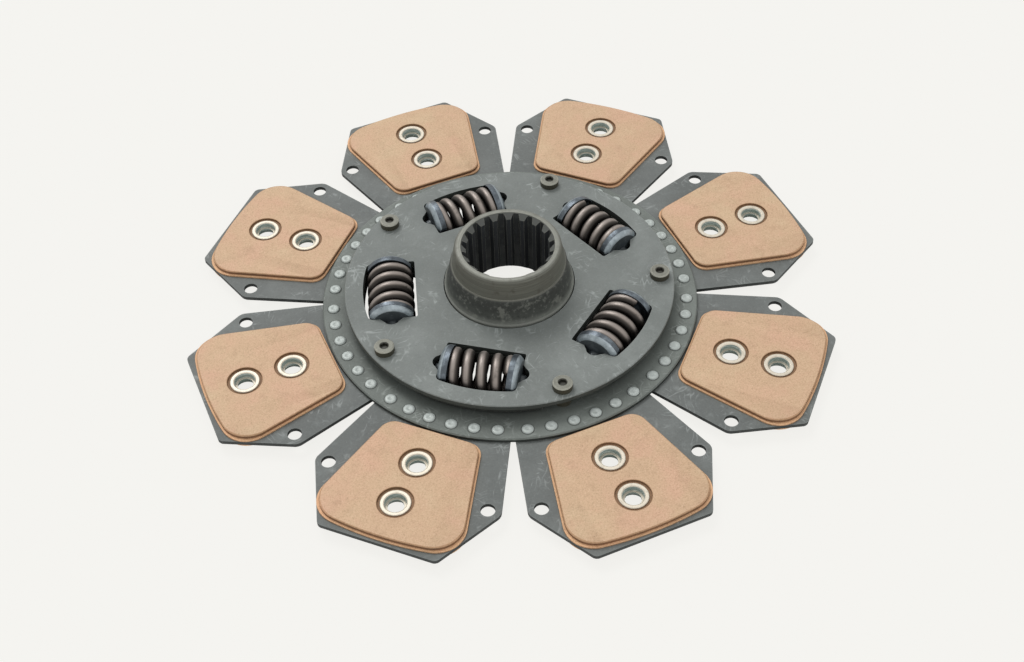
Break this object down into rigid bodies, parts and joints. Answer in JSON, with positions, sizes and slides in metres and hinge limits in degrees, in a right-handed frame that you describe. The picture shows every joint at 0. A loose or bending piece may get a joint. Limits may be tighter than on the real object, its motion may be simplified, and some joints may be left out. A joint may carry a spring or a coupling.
{
  "type": "clutch disc",
  "caption": "Sprung clutch disc with riveted paddles, sintered pads on both faces, damper springs in windows and a long splined hub.",
  "frame": {"origin": "on the hub axis, in the plane of the rear pad faces that meet the flywheel", "axes": "+Z along the hub axis towards the gearbox, out of the front cover; +X lies 22.5 degrees before the middle of the first paddle"},
  "size_m": [0.3474, 0.3474, 0.047],
  "materials": {
    "cover_phosphate": "matt grey-green phosphate coat on pressed steel",
    "plate_phosphate": "matt dark phosphate coat on pressed steel",
    "paddle_phosphate": "matt phosphate coat with darker edges",
    "hub_steel": "forged cone with a turned collar, oiled",
    "pin_steel": "turned steel, warm grey",
    "bright_zinc": "bright zinc plate",
    "sinter_bronze": "pressed sintered bronze with a fine grain",
    "spring_steel": "dark brown tempered spring wire",
    "seat_steel": "bluish drawn steel",
    "bush_polymer": "dark friction polymer",
    "washer_composite": "dark friction composite"
  },
  "bodies": {
    "disc": {"front_cover": "cover_phosphate", "carrier_plate": "plate_phosphate", "centre_bush": "bush_polymer", "friction_washer": "washer_composite", "stop_pins": "pin_steel", "ring_rivets": "bright_zinc", "pad_rivets": "bright_zinc", "paddle_1": "paddle_phosphate", "paddle_2": "paddle_phosphate", "paddle_3": "paddle_phosphate", "paddle_4": "paddle_phosphate", "paddle_5": "paddle_phosphate", "paddle_6": "paddle_phosphate", "paddle_7": "paddle_phosphate", "paddle_8": "paddle_phosphate", "front_pad_1": "sinter_bronze", "front_pad_2": "sinter_bronze", "front_pad_3": "sinter_bronze", "front_pad_4": "sinter_bronze", "front_pad_5": "sinter_bronze", "front_pad_6": "sinter_bronze", "front_pad_7": "sinter_bronze", "front_pad_8": "sinter_bronze", "rear_pad_1": "sinter_bronze", "rear_pad_2": "sinter_bronze", "rear_pad_3": "sinter_bronze", "rear_pad_4": "sinter_bronze", "rear_pad_5": "sinter_bronze", "rear_pad_6": "sinter_bronze", "rear_pad_7": "sinter_bronze", "rear_pad_8": "sinter_bronze"},
    "hub": {"hub": "hub_steel"},
    "springs": {"spring_1": "spring_steel", "spring_2": "spring_steel", "spring_3": "spring_steel", "spring_4": "spring_steel", "spring_5": "spring_steel", "seat_a_1": "seat_steel", "seat_a_2": "seat_steel", "seat_a_3": "seat_steel", "seat_a_4": "seat_steel", "seat_a_5": "seat_steel", "seat_b_1": "seat_steel", "seat_b_2": "seat_steel", "seat_b_3": "seat_steel", "seat_b_4": "seat_steel", "seat_b_5": "seat_steel"}
  },
  "joints": [
    {"name": "hub_twist", "type": "hinge", "parent": "disc", "child": "hub", "pos_m": [0, 0, 0.0126], "axis": [0, 0, 1], "range_deg": [-6.5, 4.7], "stiffness_Nm_per_rad": 60, "deforming": ["spring_1", "spring_2", "spring_3", "spring_4", "spring_5", "seat_a_1", "seat_a_2", "seat_a_3", "seat_a_4", "seat_a_5", "seat_b_1", "seat_b_2", "seat_b_3", "seat_b_4", "seat_b_5"]},
    {"name": "spring_follow", "type": "hinge", "parent": "disc", "child": "springs", "pos_m": [0, 0, 0.0132], "axis": [0, 0, 1], "range_deg": [-3.3, 2.4]}
  ],
  "couplings": [
    {"joint": "spring_follow", "follows": "hub_twist", "ratio": 0.5}
  ]
}
